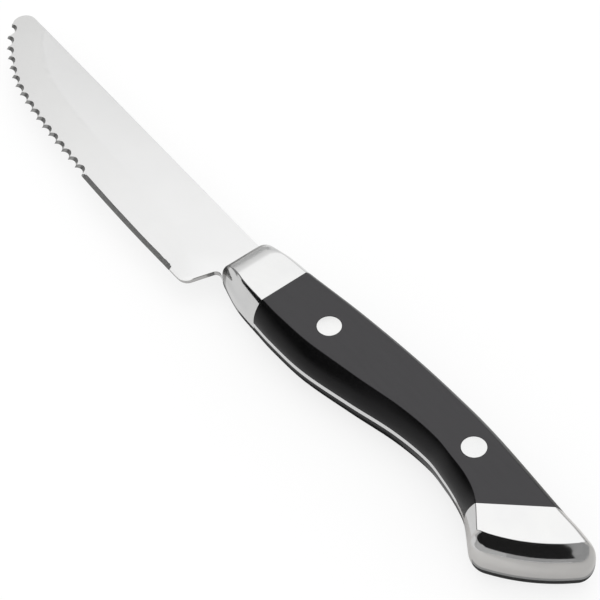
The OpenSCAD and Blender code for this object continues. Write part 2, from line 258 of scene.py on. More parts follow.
# Butt: one long arc between two corner arcs that touch it from inside
back_facing = heading(spine_normal(np.float64(HANDLE_LENGTH - BUTT_BACK_R)))
back_x = HANDLE_LENGTH - BUTT_BACK_R * (1 - math.cos(math.radians(back_facing)))
back_c = np.array([back_x, spine_line(back_x)]) - BUTT_BACK_R * ray(back_facing)
butt_c = back_c - (BUTT_R - BUTT_BACK_R) * ray(BUTT_TURN)
foot_p = np.array([belly_line.x[-1], belly_line.y[-1]])
foot_n = belly_normal(foot_p[0])
foot_u = left_of(foot_n)
foot_o = foot_p - foot_n * BUTT_BELLY_R - butt_c
foot_b = foot_o @ foot_u
foot_a = -foot_b + math.sqrt(foot_b**2 - foot_o @ foot_o + (BUTT_R - BUTT_BELLY_R) ** 2)
foot_c = butt_c + foot_o + foot_u * foot_a
foot_x = (foot_c + foot_n * BUTT_BELLY_R)[0]
foot_turn = heading(foot_c - butt_c)
foot_facing = heading(foot_n)
foot_lean = float(lean_line(foot_x))


def corner_points(centre, r, a0, a1, lean0, lean1, w, sink):
    """A corner that is an arc at the tang and an almost sharp corner on the flat face."""
    a = np.linspace(a0, a1, CORNER_N, endpoint=False)
    face0 = (r - lean0) / np.maximum(np.cos(np.radians(a - a0)), STEEPEST)
    face1 = (r - lean1) / np.maximum(np.cos(np.radians(a1 - a)), STEEPEST)
    face = (face0**-CORNER_SQUARE + face1**-CORNER_SQUARE) ** (-1 / CORNER_SQUARE)
    return centre + (r - sink - lean_in(r - face, w))[:, None] * ray(a)


def butt_end(w, sink=0):
    turns = np.linspace(foot_turn, BUTT_TURN, BUTT_N, endpoint=False)
    return np.concatenate([
        corner_points(foot_c, BUTT_BELLY_R, foot_facing, foot_turn, foot_lean, BUTT_LEAN, w, sink),
        butt_c + (BUTT_R - sink - lean_in(BUTT_LEAN, w)) * ray(turns),
        corner_points(back_c, BUTT_BACK_R, BUTT_TURN, back_facing, BUTT_LEAN, SPINE_LEAN, w, sink),
    ])


nose_u = -ray(90 + BOLSTER_TILT)


def nose_at(w):
    return NOSE_RUN * (1 - math.sqrt(1 - w**NOSE_SQUARE))


def belly_start(w):
    return nose_at(w) + BELLY_DROP * math.tan(math.radians(BOLSTER_TILT)) + NOSE_BELLY_R


def spine_start(w):
    return nose_at(w) + NOSE_BACK_R


def nose_back(w):
    x = np.float64(spine_start(w))
    nose = np.array([nose_at(w), 0])
    return turn_arc(spine_point(x, w), left_of(spine_normal(x)), nose, nose_u, NOSE_BACK_R, CORNER_N)


def nose_belly(w):
    x = np.float64(belly_start(w))
    nose = np.array([nose_at(w), 0])
    belly = bolster_belly_point(x, w)
    return turn_arc(nose, nose_u, belly, left_of(belly_normal(x)), NOSE_BELLY_R, CORNER_N)


# Joints across the handle, each a point and a facing, and the rivets midway between belly and back
def middle_of(x):
    return np.array([x, (belly_line(x) + spine_line(x)) / 2])


pommel_x = HANDLE_LENGTH - POMMEL_LENGTH
front_joint = (np.array([BOLSTER_LENGTH, 0]), ray(BOLSTER_TILT))
rear_joint = (middle_of(pommel_x), ray(-POMMEL_SLANT))
rivet_points = {
    "front": middle_of(BOLSTER_LENGTH + FRONT_RIVET_INSET),
    "rear": middle_of(pommel_x - REAR_RIVET_INSET),
}


def cross_at(point, joint, w):
    """The x at which the belly or the back crosses a joint, found by halving."""
    low, high = 0.0, float(HANDLE_LENGTH)
    for _ in range(HALVINGS):
        middle = np.float64((low + high) / 2)
        if (point(middle, w) - joint[0]) @ joint[1] > 0:
            high = middle
        else:
            low = middle
    return low


def belly_run(start, end, w, n, sink=0):
    return belly_point(np.linspace(start, end, n + 1), w, sink)


def spine_run(start, end, w, n, sink=0):
    return spine_point(np.linspace(start, end, n + 1), w, sink)


def bolster_ring(w):
    front, back = nose_belly(w), nose_back(w)
    straight = np.linspace(back[-1], front[0], NOSE_N + 1)
    belly_end = cross_at(bolster_belly_point, front_joint, w)
    return np.concatenate([
        front[:-1],
        bolster_belly_point(np.linspace(belly_start(w), belly_end, BOLSTER_N + 1), w),
        spine_run(cross_at(spine_point, front_joint, w), spine_start(w), w, BOLSTER_N),
        back[1:],
        straight[1:-1],
    ])


def scale_ring(w):
    belly = [cross_at(belly_point, j, w) for j in (front_joint, rear_joint)]
    spine = [cross_at(spine_point, j, w) for j in (rear_joint, front_joint)]
    return np.concatenate([belly_run(*belly, w, SCALE_N), spine_run(*spine, w, SCALE_N)])


def pommel_ring(w):
    return np.concatenate([
        belly_run(cross_at(belly_point, rear_joint, w), foot_x, w, POMMEL_N)[:-1],
        butt_end(w),
        spine_run(back_x, cross_at(spine_point, rear_joint, w), w, POMMEL_N),
    ])


def curve(points, n):
    """Curve through all but the first and last of the points, each step leaning on its neighbours."""
    steps = []
    for a, b, c, d in zip(points, points[1:], points[2:], points[3:]):
        for t in np.arange(n) / n:
            steps.append(b + (c - a + (2 * a - 5 * b + 4 * c - d + (3 * (b - c) + d - a) * t) * t) * t / 2)
    return steps


# Cutting edge from the tip to the heel
tip_c = np.array([TIP_R - BLADE_LENGTH, SPINE_LIFT - TIP_R])
edge_start = tip_c + TIP_R * ray(TIP_TURN)
edge_knots = [np.array([(x - 1) * BLADE_LENGTH, SPINE_LIFT - y * BLADE_HEIGHT]) for x, y in EDGE_SHARES]
edge_lead_in = edge_start + np.linalg.norm(edge_knots[0] - edge_start) * ray(TIP_TURN - 90)
heel_p = np.array([-HEEL_SHARE[0] * BLADE_LENGTH, SPINE_LIFT - HEEL_SHARE[1] * BLADE_HEIGHT])
notch_p = np.array([-NOTCH_SHARE[0] * BLADE_LENGTH, SPINE_LIFT - NOTCH_SHARE[1] * BLADE_HEIGHT])
shoulder_p = belly_point(np.float64(belly_start(0)), 0)
heel_u = unit(heel_p - edge_knots[-1])
notch_u = unit(notch_p - heel_p)
heel_arc = turn_arc(heel_p, heel_u, heel_p, notch_u, HEEL_R, CORNER_N)
notch_arc = turn_arc(notch_p, notch_u, notch_p, unit(shoulder_p - notch_p), CHOIL_R, CORNER_N)
edge_line = np.array([
    *curve([edge_lead_in, edge_start, *edge_knots, heel_p], EDGE_N),
    edge_knots[-1],
    heel_arc[0],
])
edge_runs = np.r_[0, np.cumsum(np.linalg.norm(np.diff(edge_line, axis=0), axis=1))]
edge_length = edge_runs[-1]


def edge_at(s, w=0):
    """Point w inside the cutting edge, at length s along it from the tip."""
    i = int(np.clip(np.searchsorted(edge_runs, s, side="right") - 1, 0, len(edge_runs) - 2))
    u = unit(edge_line[i + 1] - edge_line[i])
    return edge_line[i] + u * (s - edge_runs[i]) + left_of(u) * w


def run_to(x):
    return float(np.interp(x, edge_line[:, 0], edge_runs))


def grind_spots(step_share):
    """The grind's upper line, as shares of the cutting edge's length and of the grind's width."""
    return [(s, 1) for s in np.arange(0, GRIND_SHARES[0][0], step_share)] + GRIND_SHARES


def grind_line(step_share):
    return [edge_at(s * edge_length, w * GRIND_W) for s, w in grind_spots(step_share)]


def tooth_x(k):
    return TOOTH_LEAD - BLADE_LENGTH + k * TOOTH_PITCH


def tang_outline():
    """Tang from the notch round to the spine: flush between the scales, sunk under bolster and pommel."""
    belly = [cross_at(belly_point, j, 0) for j in (front_joint, rear_joint)]
    spine = [cross_at(spine_point, j, 0) for j in (front_joint, rear_joint)]
    return np.concatenate([
        [shoulder_p],
        belly_run(belly_start(0) + TANG_SINK, belly[0] + JOINT_SKIP, 0, BOLSTER_N, TANG_SINK),
        belly_run(belly[0] + JOINT_SKIP, belly[1] - JOINT_SKIP, 0, SCALE_N),
        belly_run(belly[1] - JOINT_SKIP, foot_x, 0, POMMEL_N, TANG_SINK)[:-1],
        butt_end(0, TANG_SINK),
        spine_run(back_x, spine[1] - JOINT_SKIP, 0, POMMEL_N, TANG_SINK),
        spine_run(spine[1] - JOINT_SKIP, spine[0] + JOINT_SKIP, 0, SCALE_N),
        spine_run(spine[0] + JOINT_SKIP, spine_start(0) + TANG_SINK, 0, BOLSTER_N, TANG_SINK),
        [[NOSE_BACK_R / 2, SPINE_LIFT]],
    ])


# Meshes, moved from the working frame to the shared one by the place of the front rivet
rivet_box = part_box("front_rivet_post")
rivet_mid = (rivet_box[0] + rivet_box[1]) / (2 * MM)
place = np.array([*(np.array(rivet_mid)[:2] - rivet_points["front"]), HANDLE_T / 2])


def add_object(name, data):
    obj = bpy.data.objects.new(name, data)
    bpy.context.scene.collection.objects.link(obj)
    return obj


def add_mesh(name, points, faces, flat=()):
    """Object from points in the working frame; the faces numbered in flat are flat, the rest smooth."""
    mesh = bpy.data.meshes.new(name)
    mesh.from_pydata((np.asarray(points) + place) * (MM, MM * INSIDE_SHARE, MM), [], faces)
    mesh.polygons.foreach_set("use_smooth", [i not in flat for i in range(len(faces))])
    mesh.update()
    return add_object(name, mesh)


def skin(name, rings):
    """Closed solid through rings, from the lowest up; its two ends are flat."""
    n, rows = len(rings[0]), len(rings) - 1
    sides = [
        (k * n + i, k * n + (i + 1) % n, (k + 1) * n + (i + 1) % n, (k + 1) * n + i)
        for k in range(rows)
        for i in range(n)
    ]
    ends = [tuple(range(n))[::-1], tuple(range(rows * n, rows * n + n))]
    return add_mesh(name, np.concatenate(rings), sides + ends, flat={len(sides), len(sides) + 1})


def lifted(ring, z):
    return np.column_stack([ring, np.full(len(ring), z)])


def both_sides(name, ring):
    """Solid of rings that mirror each other on the two sides of the blade's middle."""
    under = [lifted(ring(w), -STOCK_T / 2 - w * SLAB_T) for w in RING_SHARES[::-1]]
    over = [lifted(ring(w), STOCK_T / 2 + w * SLAB_T) for w in RING_SHARES]
    return skin(name, under + over)


def cut(obj, cutter, finish=0):
    """Takes the cutter's shape off the object, leaving faces of one finish, and deletes the cutter."""
    for material in obj.data.materials:
        cutter.data.materials.append(material)
    for face in cutter.data.polygons:
        face.material_index = finish
    modifier = obj.modifiers.new("cut", "BOOLEAN")
    modifier.operation = "DIFFERENCE"
    modifier.solver = "EXACT"
    modifier.object = cutter
    made = bpy.data.meshes.new_from_object(obj.evaluated_get(bpy.context.evaluated_depsgraph_get()))
    obj.modifiers.clear()
    obj.data = made
    bpy.data.objects.remove(cutter)


def rod(centre, d, low, high, tilt=0):
    """Cylinder about a point of the working frame, between two heights along its own axis."""
    mesh = bpy.data.meshes.new("rod")
    made = bmesh.new()
    turn = Matrix.Rotation(math.radians(-tilt), 4, "X")
    shift = Matrix.Translation((0, 0, (low + high) / 2))
    to_place = Matrix.Translation(np.asarray(centre) + place)
    matrix = Matrix.Scale(MM, 4) @ to_place @ turn @ shift
    bmesh.ops.create_cone(
        made, cap_ends=True, segments=LATHE_N, radius1=d / 2, radius2=d / 2, depth=high - low, matrix=matrix
    )
    for face in made.faces:
        face.smooth = len(face.verts) == 4
    made.to_mesh(mesh)
    made.free()
    return add_object("rod", mesh)


def ramp(inner, outer, z_in, z_out, side=1):
    """What a grinding wheel takes off one face, from the inner line down to the outer line and past both."""
    rings = []
    for p, q, a, b in zip(inner, outer, z_in, z_out):
        over, under = 2 * p - q, 2 * q - p
        corners = [(over, 2 * a - b), (under, 2 * b - a), (under, a + STOCK_T), (over, a + STOCK_T)]
        rings.append(np.array([[*xy, z * side] for xy, z in corners[::side]]))
    obj = skin("ramp", rings)
    tidy = bmesh.new()
    tidy.from_mesh(obj.data)
    bmesh.ops.recalc_face_normals(tidy, faces=tidy.faces)
    for face in tidy.faces:
        face.smooth = False
    tidy.to_mesh(obj.data)
    tidy.free()
    return obj


def sharpen(obj):
    """Flat faces up and down, smooth sides, and creases between them."""
    for face in obj.data.polygons:
        face.use_smooth = abs(face.normal.z) < FLAT_FACING
    obj.data.set_sharp_from_angle(angle=math.radians(CREASE_TURN))
    return obj


def stock():
    """Blade blank with slightly rounded edges ahead of the bolster."""
    tip = arc(tip_c, TIP_R, 90, TIP_TURN, 2 * CORNER_N)[:-1]
    outline = np.concatenate([tip, edge_line, heel_arc[1:], notch_arc, tang_outline()])
    ahead, behind = np.roll(outline, -1, 0) - outline, outline - np.roll(outline, 1, 0)
    inward = unit(left_of(unit(ahead) + unit(behind)))
    round_r = np.where(outline[:, 0] < 0, STOCK_EDGE_R, 0)[:, None]
    quarter = np.radians(np.linspace(0, 90, STOCK_ROUND_N + 1))
    profile = [(1 - math.cos(a), 1 - math.sin(a)) for a in quarter]
    levels = [(e, -STOCK_T / 2 + STOCK_EDGE_R * d) for e, d in profile[::-1]]
    levels += [(e, STOCK_T / 2 - STOCK_EDGE_R * d) for e, d in profile]
    return skin("blade_steel", [lifted(outline + inward * round_r * e, z) for e, z in levels])


def grind_cutter(side):
    tip_over = -unit(edge_line[1] - edge_line[0]) * BLADE_HEIGHT
    inner = grind_line(GRIND_STEP_SHARE)
    outer = [edge_at(s * edge_length) for s, _ in grind_spots(GRIND_STEP_SHARE)]
    inner.insert(0, inner[0] + tip_over)
    outer.insert(0, outer[0] + tip_over)
    return ramp(inner, outer, [STOCK_T / 2] * len(inner), [EDGE_T / 2] * len(inner), side)


def bevel_cutter():
    start = run_to(tooth_x(TOOTH_COUNT - 0.5))
    length = edge_length - HEEL_BLUNT - start
    spots = [(start + s * length, w * BEVEL_W) for s, w in BEVEL_SHARES]
    ground = (STOCK_T - EDGE_T) / 2 / GRIND_W
    return ramp(
        [edge_at(s, w) for s, w in spots],
        [edge_at(s) for s, w in spots],
        [EDGE_T / 2 + ground * w for s, w in spots],
        [EDGE_LAND - EDGE_T / 2] * len(spots),
    )


# Number of the coarser steel among the blade's materials
EDGE_FINISH = 1


def make_blade(finishes):
    blade = stock()
    for finish in finishes:
        blade.data.materials.append(finish)
    cut(blade, grind_cutter(1))
    cut(blade, grind_cutter(-1))
    half = TOOTH_PITCH / 2 / TOOTH_R
    out = TOOTH_R / math.cos(math.radians(TOOTH_TILT)) * math.sqrt(1 - half**2) - TOOTH_BITE
    for k in range(TOOTH_COUNT):
        x, y = edge_at(run_to(tooth_x(k)))
        tooth = rod((x, y - out, -EDGE_T / 2), 2 * TOOTH_R, -2 * TOOTH_R, 2 * TOOTH_R, TOOTH_TILT)
        cut(blade, tooth, EDGE_FINISH)
    cut(blade, bevel_cutter(), EDGE_FINISH)
    for x, y in rivet_points.values():
        cut(blade, rod((x, y, 0), SLEEVE_D + 2 * RIVET_FIT, -STOCK_T, STOCK_T))
    return sharpen(blade)


def make_cheeks(name, ring):
    """Bolster or pommel: polished over as one piece, with the slot for the tang."""
    piece = both_sides(name, ring)
    cut(piece, stock())
    return sharpen(piece)


def make_scale(name, side):
    rings = [lifted(scale_ring(w), side * (STOCK_T / 2 + w * SLAB_T)) for w in RING_SHARES]
    scale = skin(name, rings[::side])
    face = HANDLE_T / 2
    for x, y in rivet_points.values():
        reach = sorted([side * (face - RIVET_HEAD_H), side * (face + OVERRUN)])
        cut(scale, rod((x, y, 0), RIVET_HEAD_D + 2 * RIVET_FIT, *reach))
        cut(scale, rod((x, y, 0), SLEEVE_D + 2 * RIVET_FIT, -HANDLE_T, HANDLE_T))
    return sharpen(scale)


def lathe(name, centre, profile, side):
    """Solid of a profile of radius and depth below the flat face, turned about a rivet's axis."""
    turns = np.linspace(0, 360, LATHE_N, endpoint=False)
    points = [
        (*(centre + r * ray(a)), side * (HANDLE_T / 2 - depth))
        for r, depth in profile
        for a in turns
    ]
    n = LATHE_N
    sides = [
        (k * n + i, (k + 1) * n + i, (k + 1) * n + (i + 1) % n, k * n + (i + 1) % n)[::side]
        for k in range(len(profile) - 1)
        for i in range(n)
    ]
    last = (len(profile) - 1) * n
    ends = [tuple(range(n))[::side], tuple(range(last, last + n))[::-side]]
    return sharpen(add_mesh(name, points, sides + ends, flat={len(sides), len(sides) + 1}))


def rivet_head():
    r = RIVET_HEAD_D / 2
    turns = np.radians(np.linspace(0, 90, RIVET_ROUND_N + 1))
    return [(r - RIVET_EDGE_R * (1 - math.sin(a)), RIVET_EDGE_R * (1 - math.cos(a))) for a in turns]


def make_post(name, centre):
    stem = [(POST_D / 2, RIVET_HEAD_H), (POST_D / 2, RIVET_REACH)]
    return lathe(name, centre, [*rivet_head(), (RIVET_HEAD_D / 2, RIVET_HEAD_H), *stem], 1)


def make_sleeve(name, centre):
    bore_r = POST_D / 2 + RIVET_FIT
    tube = [(SLEEVE_D / 2, RIVET_HEAD_H), (SLEEVE_D / 2, RIVET_REACH)]
    bore = [(bore_r, RIVET_REACH), (bore_r, RIVET_HEAD_H)]
    return lathe(name, centre, [*rivet_head(), (RIVET_HEAD_D / 2, RIVET_HEAD_H), *tube, *bore], -1)


# Colours of the steels and the polymer; a pair runs from one end of a mottle to the other
BLADE_FLAT_COLOURS = ((0.678, 0.678, 0.676), (0.642, 0.642, 0.641))
BLADE_HOLLOW_COLOURS = ((0.657, 0.656, 0.651), (0.622, 0.621, 0.616))
GRIND_BRINK_COLOUR = (0.625, 0.625, 0.621)
# Painted shade on the blade's edge walls
EDGE_WALL_SHADE_COLOUR = (0.42, 0.415, 0.41)
# Partly the ground finish, partly painted shade for the scallops and bevel
EDGE_GRAIN_AND_SHADE_COLOURS = ((0.24, 0.24, 0.24), (0.32, 0.32, 0.312))
# Painted shade: polished steel darker on the sides than on the flat faces
POLISHED_SHADED_SIDE_COLOURS = ((0.55, 0.55, 0.55), (0.58, 0.58, 0.575))
POLISHED_LIT_FACE_COLOURS = ((0.615, 0.615, 0.615), (0.635, 0.635, 0.63))
# Painted shade for the low rim of the bolster's nose
NOSE_PAINTED_SHADE_COLOUR = (0.18, 0.177, 0.172)
POLYMER_COLOURS = ((0.0012, 0.0012, 0.0012), (0.002, 0.002, 0.0021))
POLYMER_TINT = (0.98, 0.96, 1)

# Each noise: the size of its patches in millimetres, its detail, its roughness and how it is drawn out
BLADE_CLOUDS = (9, 5)
BLADE_LINES = (0.12, 3, 0.6, (60, 1, 1))
GRIND_SPECKLE = (1.6, 5, 0.7)
BRINK_SPECKS = (2, 5, 0.65)
WHEEL_MARKS = (0.3, 4, 0.6, (1, 4, 4))
POLISH_CLOUDS = (7, 5)
POLISH_LINES = (0.1, 3, 0.6, (60, 1, 1))
POLYMER_CLOUDS = (6, 5)
POLYMER_PEBBLE = (0.35, 3)
POLYMER_LINES = (0.25, 2, 0.5, (40, 1, 1))

# Depths of bumps in millimetres
BLADE_LINE_DEPTH = 0.00008
WHEEL_MARK_DEPTH = 0.003
POLISH_LINE_DEPTH = 0.0003
PEBBLE_DEPTH = 0.006
POLYMER_LINE_DEPTH = 0.003

# Shine: roughness, metal and specular level, and how far up a spot faces where a side turns into a flat face
BLADE_ROUGH = (0.16, 0.25)
BLADE_LINE_ROUGH = (0, 0.02)
EDGE_ROUGH = (0.3, 0.38)
EDGE_METALLIC = 0.75
POLISHED_ROUGH = (0.06, 0.2)
POLISH_LINE_ROUGH = (0, 0.04)
POLYMER_ROUGH = (0.3, 0.4)
POLYMER_SPECULAR = (0.17, 0.6)
BLADE_FACING = (0.9, 0.99)
POLISHED_FACING = (0.93, 0.995)
SATIN_FACING = (0.8, 0.97)
POLYMER_FACING = (0.85, 0.99)

# Runs along the knife where the blade's tone changes, the grind's line fades and the painted shade on the
# blade's edge walls stops at the tang, the blur and mottle of that line, and the painted shade low on the
# bolster's nose
BLADE_TONE_RUN = (-124, -10)
BLADE_TONE_MOTTLE = 0.15
GRIND_FADE = (-95, -40)
GRIND_FADE_SHARES = (1, 0.25)
GRIND_BLUR = 1.1
GRIND_MOTTLE = 0.5
BRINK_SPECK_SHARES = (0.1, 1)
BRINK_SPECK_RANGE = (0.4, 0.62)
EDGE_WALL_SHADE_RUN = (-1, 0)
NOSE_SHADE_RUN = (2.6, 3.4)
NOSE_SHADE_RISE = (6.75, 7.1)


class Nodes:
    """Shorthand for one material's nodes."""

    def __init__(self, name):
        self.material = bpy.data.materials.new(name)
        self.material.use_nodes = True
        self.tree = self.material.node_tree
        self.shader = self.tree.nodes["Principled BSDF"]
        place_at = self.add("ShaderNodeTexCoord")
        self.object_at = place_at.outputs["Object"]
        self.normal = place_at.outputs["Normal"]

    def add(self, kind, **settings):
        node = self.tree.nodes.new(kind)
        for key, value in settings.items():
            setattr(node, key, value)
        return node

    def link(self, source, target):
        self.tree.links.new(source, target)

    def noise(self, size, detail, roughness=0.55, stretch=(1, 1, 1)):
        """Noise whose patches are about size millimetres across, drawn out by stretch."""
        mapping = self.add("ShaderNodeMapping")
        mapping.inputs["Scale"].default_value = [1 / (size * MM * s) for s in stretch]
        self.link(self.object_at, mapping.inputs["Vector"])
        texture = self.add("ShaderNodeTexNoise")
        texture.inputs["Scale"].default_value = 1
        texture.inputs["Detail"].default_value = detail
        texture.inputs["Roughness"].default_value = roughness
        self.link(mapping.outputs["Vector"], texture.inputs["Vector"])
        return texture.outputs["Fac"]

    def spread(self, source, low, high, start=0.3, end=0.7):
        """Source from start to end, which hold most of a noise unless given, drawn out from low to high."""
        node = self.add("ShaderNodeMapRange")
        node.inputs["From Min"].default_value = start
        node.inputs["From Max"].default_value = end
        node.inputs["To Min"].default_value = low
        node.inputs["To Max"].default_value = high
        self.link(source, node.inputs["Value"])
        return node.outputs["Result"]

    def blend(self, factor, a, b):
        """Colour from a to b; each is a colour or a socket."""
        node = self.add("ShaderNodeMix", data_type="RGBA")
        self.link(factor, node.inputs["Factor"])
        for colour, socket in ((a, "A"), (b, "B")):
            if isinstance(colour, tuple):
                node.inputs[socket].default_value = (*colour, 1)
            else:
                self.link(colour, node.inputs[socket])
        return node.outputs["Result"]

    def maths(self, operation, *sources):
        node = self.add("ShaderNodeMath", operation=operation)
        for source, socket in zip(sources, node.inputs):
            self.link(source, socket)
        return node.outputs[0]

    def total(self, a, b):
        return self.maths("ADD", a, b)

    def product(self, a, b):
        return self.maths("MULTIPLY", a, b)

    def facing_up(self, start, end):
        """0 on the sides of the knife to 1 on its flat faces."""
        parts = self.add("ShaderNodeSeparateXYZ")
        self.link(self.normal, parts.inputs[0])
        return self.spread(self.maths("ABSOLUTE", parts.outputs["Z"]), 0, 1, start, end)

    def ground_share(self):
        """0 on the flat of the blade to 1 in the grind below it, across a mottled line."""
        parts = self.add("ShaderNodeSeparateXYZ")
        self.link(self.object_at, parts.inputs[0])
        line = self.add("ShaderNodeFloatCurve")
        knots = line.mapping.curves[0].points
        upper = grind_line(GRIND_LINE_STEP_SHARE)
        low, high = upper[0][0], upper[-1][0]
        spots = [((x - low) / (high - low), (y / BLADE_HEIGHT + 1) / 2) for x, y in upper]
        knots[0].location, knots[1].location = spots[0], spots[-1]
        for spot in spots[1:-1]:
            knots.new(*spot)
        line.mapping.update()
        along = self.spread(parts.outputs["X"], 0, 1, (low + place[0]) * MM, (high + place[0]) * MM)
        self.link(along, line.inputs["Value"])
        reach = [(place[1] + y) * MM for y in (-BLADE_HEIGHT, BLADE_HEIGHT)]
        above = self.maths("SUBTRACT", parts.outputs["Y"], self.spread(line.outputs["Value"], *reach, 0, 1))
        mottle = self.spread(self.noise(*GRIND_SPECKLE), -GRIND_MOTTLE * MM, GRIND_MOTTLE * MM)
        return self.spread(self.total(above, mottle), 1, 0, -GRIND_BLUR * MM, GRIND_BLUR * MM)

    def along(self, degrees):
        """Distance from the front of the bolster, along a heading."""
        node = self.add("ShaderNodeVectorMath", operation="DOT_PRODUCT")
        node.inputs[1].default_value = (*ray(degrees), 0)
        self.link(self.working_at(), node.inputs[0])
        return node.outputs["Value"]

    def over_run(self, run, low, high, degrees=0):
        """From low to high over a run in millimetres along a heading."""
        return self.spread(self.along(degrees), low, high, *(x * MM for x in run))

    def working_at(self):
        """Place in the working frame."""
        node = self.add("ShaderNodeVectorMath", operation="SUBTRACT")
        node.inputs[1].default_value = place * MM
        self.link(self.object_at, node.inputs[0])
        return node.outputs["Vector"]

    def off_middle(self):
        """Height above or below the middle of the blade."""
        parts = self.add("ShaderNodeSeparateXYZ")
        self.link(self.working_at(), parts.inputs[0])
        return self.maths("ABSOLUTE", parts.outputs["Z"])

    def nose_shade_share(self):
        """1 low on the front of the bolster, along the rim where it meets the blade, to 0 elsewhere: a band
        of painted shade.
        """
        front = self.over_run(NOSE_SHADE_RUN, 1, 0, BOLSTER_TILT)
        low = self.spread(self.off_middle(), 1, 0, *(z * MM for z in NOSE_SHADE_RISE))
        return self.product(front, low)

    def brink(self, share):
        """1 where a share is halfway, down to 0 at both its ends."""
        return self.spread(self.maths("ABSOLUTE", self.spread(share, -1, 1, 0, 1)), 1, 0, 0, 1)

    def bump(self, layers):
        """Bump of several heights, each with its depth in millimetres."""
        normal = None
        for source, depth in layers:
            node = self.add("ShaderNodeBump")
            node.inputs["Strength"].default_value = 1
            node.inputs["Distance"].default_value = depth * MM
            self.link(source, node.inputs["Height"])
            if normal:
                self.link(normal, node.inputs["Normal"])
            normal = node.outputs["Normal"]
        self.link(normal, self.shader.inputs["Normal"])


def blade_steel():
    """Satin ground stainless steel; the hollow of the grind is a little darker, with a mottled upper edge,
    and the edge walls ahead of the bolster carry painted shade.
    """
    n = Nodes("blade_steel")
    n.shader.inputs["Metallic"].default_value = 1
    ground = n.ground_share()
    clouds = n.spread(n.noise(*BLADE_CLOUDS), -BLADE_TONE_MOTTLE, BLADE_TONE_MOTTLE)
    tone = n.total(n.over_run(BLADE_TONE_RUN, 0, 1), clouds)
    flat = n.blend(tone, *BLADE_FLAT_COLOURS)
    hollow = n.blend(tone, *BLADE_HOLLOW_COLOURS)
    seen = n.over_run(GRIND_FADE, *GRIND_FADE_SHARES)
    specks = n.spread(n.noise(*BRINK_SPECKS), *BRINK_SPECK_SHARES, *BRINK_SPECK_RANGE)
    brink = n.product(n.brink(ground), n.product(seen, specks))
    clean = n.blend(brink, n.blend(n.product(ground, seen), flat, hollow), GRIND_BRINK_COLOUR)
    facing = n.facing_up(*BLADE_FACING)
    # Painted shade: the blade's edge walls ahead of the bolster are darkened, standing in for the shadow
    # under the blade that they mirror
    shaded_walls = n.product(n.spread(facing, 1, 0, 0, 1), n.over_run(EDGE_WALL_SHADE_RUN, 1, 0))
    n.link(n.blend(shaded_walls, clean, EDGE_WALL_SHADE_COLOUR), n.shader.inputs["Base Color"])
    lines = n.noise(*BLADE_LINES)
    rough = n.spread(facing, *BLADE_ROUGH, 0, 1)
    n.link(n.total(rough, n.spread(lines, *BLADE_LINE_ROUGH)), n.shader.inputs["Roughness"])
    n.bump([(lines, BLADE_LINE_DEPTH)])
    return n.material


def edge_steel():
    """Coarser steel in the scallops and on the plain bevel, straight from the grinding wheel; its colour is
    also darkened as painted shade, standing in for the dark surroundings these hollows mirror.
    """
    n = Nodes("edge_steel")
    n.shader.inputs["Metallic"].default_value = EDGE_METALLIC
    marks = n.noise(*WHEEL_MARKS)
    # Colour partly the ground finish and partly painted shade: far darker than steel, to copy the dark
    # reflections in the scallops
    n.link(n.blend(n.spread(marks, 0, 1), *EDGE_GRAIN_AND_SHADE_COLOURS), n.shader.inputs["Base Color"])
    n.link(n.spread(marks, *EDGE_ROUGH), n.shader.inputs["Roughness"])
    n.bump([(marks, WHEEL_MARK_DEPTH)])
    return n.material


def polished_steel():
    """Stainless steel with mirror-polished sides that turn to a fine satin grain on the flat faces; the sides
    also carry a darker colour than the faces as painted shade.
    """
    n = Nodes("polished_steel")
    n.shader.inputs["Metallic"].default_value = 1
    clouds = n.spread(n.noise(*POLISH_CLOUDS), 0, 1)
    side = n.blend(clouds, *POLISHED_SHADED_SIDE_COLOURS)
    face = n.blend(clouds, *POLISHED_LIT_FACE_COLOURS)
    # Painted shade: the sides get a darker colour than the flat faces
    clean = n.blend(n.facing_up(*POLISHED_FACING), side, face)
    # Painted shade: a dark band low on the bolster's nose, where it meets the blade
    n.link(n.blend(n.nose_shade_share(), clean, NOSE_PAINTED_SHADE_COLOUR), n.shader.inputs["Base Color"])
    lines = n.noise(*POLISH_LINES)
    rough = n.spread(n.facing_up(*SATIN_FACING), *POLISHED_ROUGH, 0, 1)
    n.link(n.total(rough, n.spread(lines, *POLISH_LINE_ROUGH)), n.shader.inputs["Roughness"])
    n.bump([(lines, POLISH_LINE_DEPTH)])
    return n.material


def black_polymer():
    """Black moulded polymer, buffed to a satin finish: fine pebble and faint buffing lines."""
    n = Nodes("black_polymer")
    clouds = n.spread(n.noise(*POLYMER_CLOUDS), 0, 1)
    n.link(n.blend(clouds, *POLYMER_COLOURS), n.shader.inputs["Base Color"])
    specular = n.spread(n.facing_up(*POLYMER_FACING), *POLYMER_SPECULAR, 0, 1)
    n.link(specular, n.shader.inputs["Specular IOR Level"])
    n.shader.inputs["Specular Tint"].default_value = (*POLYMER_TINT, 1)
    pebble = n.noise(*POLYMER_PEBBLE)
    lines = n.noise(*POLYMER_LINES)
    n.link(n.spread(lines, *POLYMER_ROUGH), n.shader.inputs["Roughness"])
    n.bump([(pebble, PEBBLE_DEPTH), (lines, POLYMER_LINE_DEPTH)])
    return n.material


FINISHES = {"polished_steel": polished_steel(), "black_scale": black_polymer()}


def finish_piece(obj, slot, *nodes):
    """Gives a piece the finish of its slot, where it has none yet, and ties it to the frame."""
    if not obj.data.materials:
        obj.data.materials.append(FINISHES[slot])
    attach(obj, "root")
    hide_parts(*nodes)


